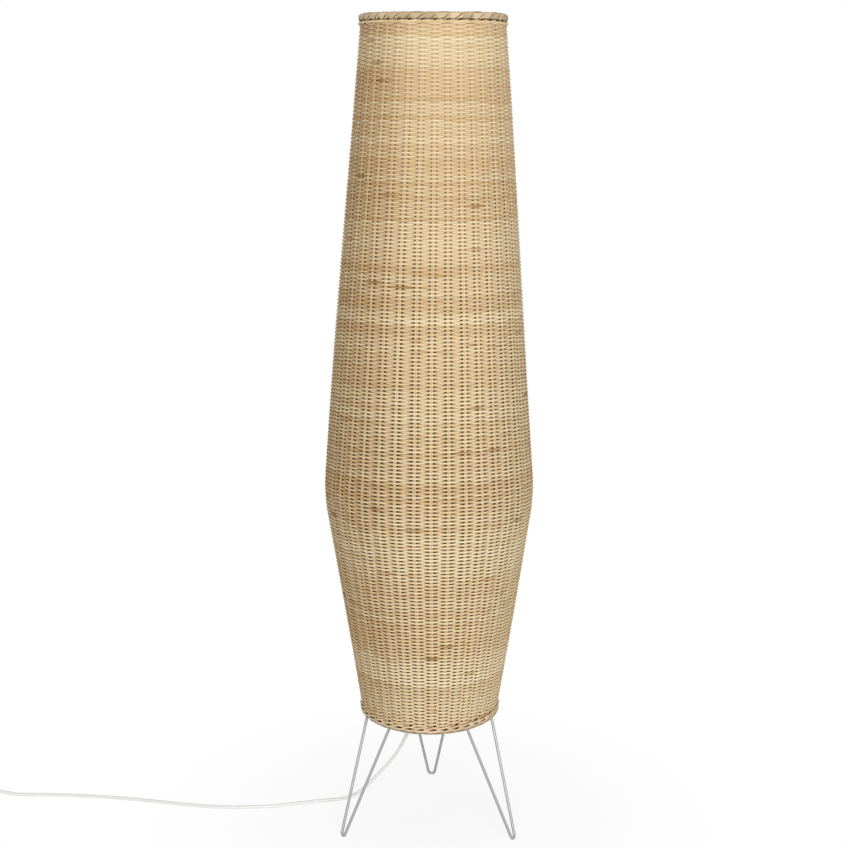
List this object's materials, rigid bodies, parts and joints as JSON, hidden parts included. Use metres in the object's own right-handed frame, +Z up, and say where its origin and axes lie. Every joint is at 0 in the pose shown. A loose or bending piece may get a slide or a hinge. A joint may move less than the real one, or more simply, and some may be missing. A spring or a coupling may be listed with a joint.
{
  "type": "floor lamp",
  "caption": "Tall woven rattan shade with a rounded belly on a wire base with three hairpin legs, with a screw-in bulb, a white cord with a rocker switch, and a mains plug.",
  "frame": {"origin": "on the lamp's upright axis, at the floor", "axes": "+Z up along the lamp's axis, -Y towards the front, where two of the three legs stand, +X to the right"},
  "size_m": [1.1388, 0.3502, 1.36],
  "materials": {
    "rattan": "natural woven rattan reed, matt to slightly silky",
    "border_rattan": "bent and twisted rattan, matt",
    "satin_wire": "light grey satin powder coat on steel wire",
    "zinc_steel": "zinc plated",
    "brass": "plain",
    "white_plastic": "moulded, satin",
    "white_cord": "smooth white PVC sheath",
    "ceramic": "unglazed steatite",
    "opal_glass": "opal, satin",
    "black_glass": "black vitrite glass"
  },
  "bodies": {
    "stand": {"base_ring": "satin_wire", "leg_back": "satin_wire", "leg_front_left": "satin_wire", "leg_front_right": "satin_wire", "cross_bar": "satin_wire", "threaded_nipple": "zinc_steel", "nut_below_bar": "zinc_steel", "nut_above_bar": "zinc_steel", "cord_grip": "white_plastic", "holder_cap": "white_plastic", "holder_shell": "white_plastic", "contact_block": "ceramic", "centre_contact": "brass", "side_contact": "brass", "terminal_screw_1": "brass", "terminal_screw_2": "brass", "inner_lead": "white_cord", "cord_run": "white_cord", "cord_coil": "white_cord", "coil_tie": "white_plastic", "switch_base": "white_plastic", "switch_cover": "white_plastic", "switch_screw_1": "zinc_steel", "switch_screw_2": "zinc_steel", "switch_relief_lamp_side": "white_plastic", "switch_relief_plug_side": "white_plastic", "plug_body": "white_plastic", "plug_pin_1": "zinc_steel", "plug_pin_2": "zinc_steel", "plug_relief": "white_plastic"},
    "shade": {"shade_wall": "rattan", "top_band": "border_rattan", "top_border": "border_rattan", "bottom_band": "border_rattan", "bottom_border": "border_rattan"},
    "bulb": {"bulb_glass": "opal_glass", "bulb_screw_cap": "zinc_steel", "bulb_insulator": "black_glass", "bulb_tip_contact": "brass"},
    "rocker": {"switch_rocker": "white_plastic"}
  },
  "joints": [
    {"name": "shade_lift", "type": "slide", "parent": "stand", "child": "shade", "axis": [0, 0, 1], "range_m": [0, 0.25]},
    {"name": "bulb_unscrew", "type": "hinge", "parent": "stand", "child": "bulb", "pos_m": [0, 0, 0.33], "axis": [0, 0, 1], "range_deg": [0, 1080]},
    {"name": "switch_tip", "type": "hinge", "parent": "stand", "child": "rocker", "pos_m": [-0.8394, 0.05, 0.0145], "axis": [0, 1, 0], "range_deg": [0, 24]}
  ]
}
